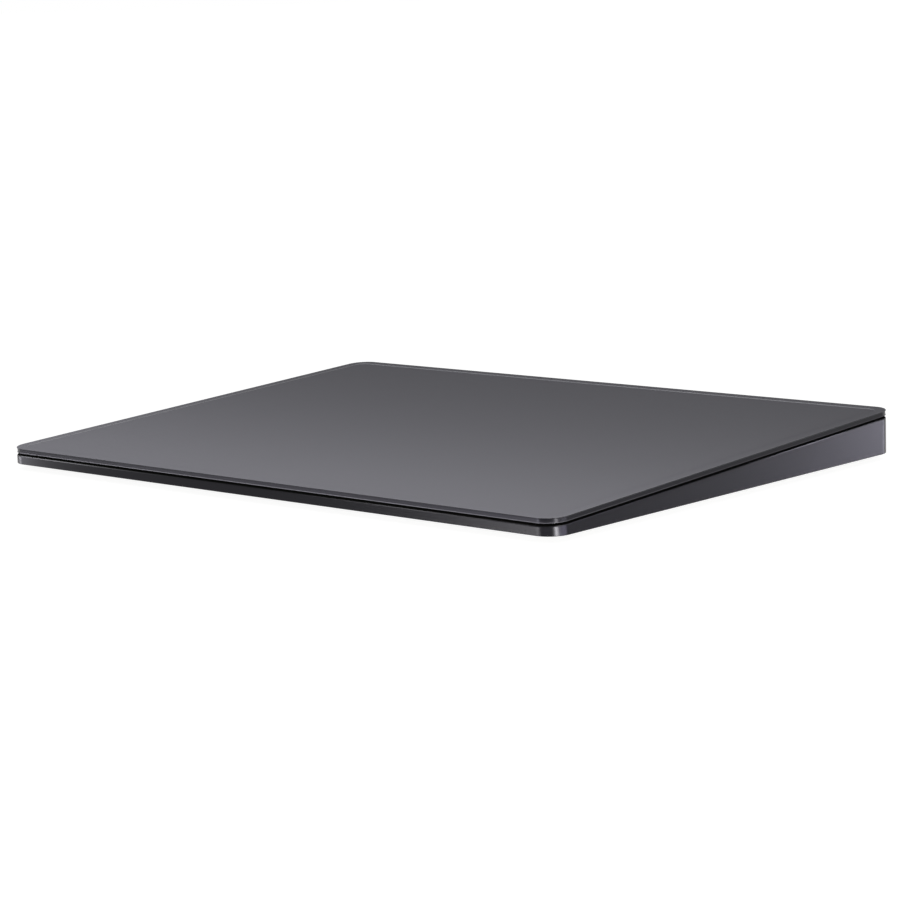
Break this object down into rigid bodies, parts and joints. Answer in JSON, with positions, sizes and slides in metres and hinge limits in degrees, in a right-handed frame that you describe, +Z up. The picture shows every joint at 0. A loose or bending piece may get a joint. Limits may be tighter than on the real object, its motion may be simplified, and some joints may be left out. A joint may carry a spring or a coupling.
{
  "type": "desk trackpad",
  "caption": "Wireless wedge-shaped desk trackpad with a floating glass touch plate on leaf flexures, a haptic unit, a rear charging socket and a slide power switch.",
  "frame": {"origin": "centre of the footprint, on the desk that the feet stand on", "axes": "+X to the user's right along the long side, +Y away from the user to the thick rear edge, +Z up from the desk"},
  "size_m": [0.16, 0.115, 0.0109],
  "materials": {
    "anodised_body": "dark grey, fine blasted and anodised, satin",
    "base_cover": "dark grey, fine grain",
    "adhesive": "tacky film",
    "foot_rubber": "matt",
    "satin_glass": "dark grey coated, etched to satin",
    "black_moulding": "matt black",
    "circuit_board": "dark green solder mask",
    "chip": "moulded black",
    "connector": "moulded black",
    "steel_sheet": "rolled",
    "gel": "soft, slightly milky",
    "screw": "zinc plated",
    "spring_steel": "rolled and etched",
    "flex_film": "polyimide amber",
    "core_iron": "laminated",
    "copper_winding": "enamelled copper wire",
    "battery_pouch": "laminated foil pouch",
    "shield_can": "tinned",
    "antenna_brass": "bright",
    "socket_steel": "drawn stainless",
    "switch_knob": "dark grey"
  },
  "bodies": {
    "base": {"enclosure": "anodised_body", "base_sheet": "base_cover", "base_adhesive": "adhesive", "foot_front_left": "foot_rubber", "foot_front_right": "foot_rubber", "foot_rear_left": "foot_rubber", "foot_rear_right": "foot_rubber", "flexure_front_left": "spring_steel", "flexure_front_right": "spring_steel", "flexure_rear_left": "spring_steel", "flexure_rear_right": "spring_steel", "strain_gauges": "flex_film", "flexure_screws": "screw", "gauge_flex": "flex_film", "haptic_core": "core_iron", "haptic_bracket": "steel_sheet", "haptic_coils": "copper_winding", "haptic_screws": "screw", "battery_cell": "battery_pouch", "battery_adhesive": "adhesive", "battery_protection_board": "circuit_board", "battery_flex": "flex_film", "main_board": "circuit_board", "main_board_screws": "screw", "board_chips": "chip", "board_connectors": "connector", "shield_can_radio": "shield_can", "shield_can_power": "shield_can", "touch_flex": "flex_film", "antenna_carrier": "connector", "antenna_foil": "antenna_brass", "charge_socket_shell": "socket_steel", "charge_socket_tongue": "connector", "charge_socket_board": "circuit_board", "charge_socket_clamp": "steel_sheet", "charge_socket_screws": "screw", "power_flex": "flex_film", "switch_housing": "connector"},
    "pads": {"load_pads": "steel_sheet"},
    "touch_plate": {"glass_plate": "satin_glass", "plate_surround": "black_moulding", "plate_adhesive": "adhesive", "touch_sensor_board": "circuit_board", "touch_chips": "chip", "touch_connector": "connector", "stiffener_plate": "steel_sheet", "armature_bar": "steel_sheet", "gel_pads": "gel"},
    "power_switch": {"switch_knob": "switch_knob", "switch_slider": "connector"}
  },
  "joints": [
    {"name": "plate_press", "type": "slide", "parent": "base", "child": "pads", "axis": [0, 0.0521, -0.9986], "range_m": [0, 0.0002], "stiffness_N_per_m": 2500, "springref_m": -0.0012, "deforming": ["flexure_front_left", "flexure_front_right", "flexure_rear_left", "flexure_rear_right", "strain_gauges", "touch_flex"]},
    {"name": "plate_nudge", "type": "slide", "parent": "pads", "child": "touch_plate", "axis": [0, 0.9986, 0.0521], "range_m": [-0.00015, 0.00015], "stiffness_N_per_m": 4000},
    {"name": "switch_slide", "type": "slide", "parent": "base", "child": "power_switch", "axis": [1, 0, 0], "range_m": [0, 0.002]}
  ]
}
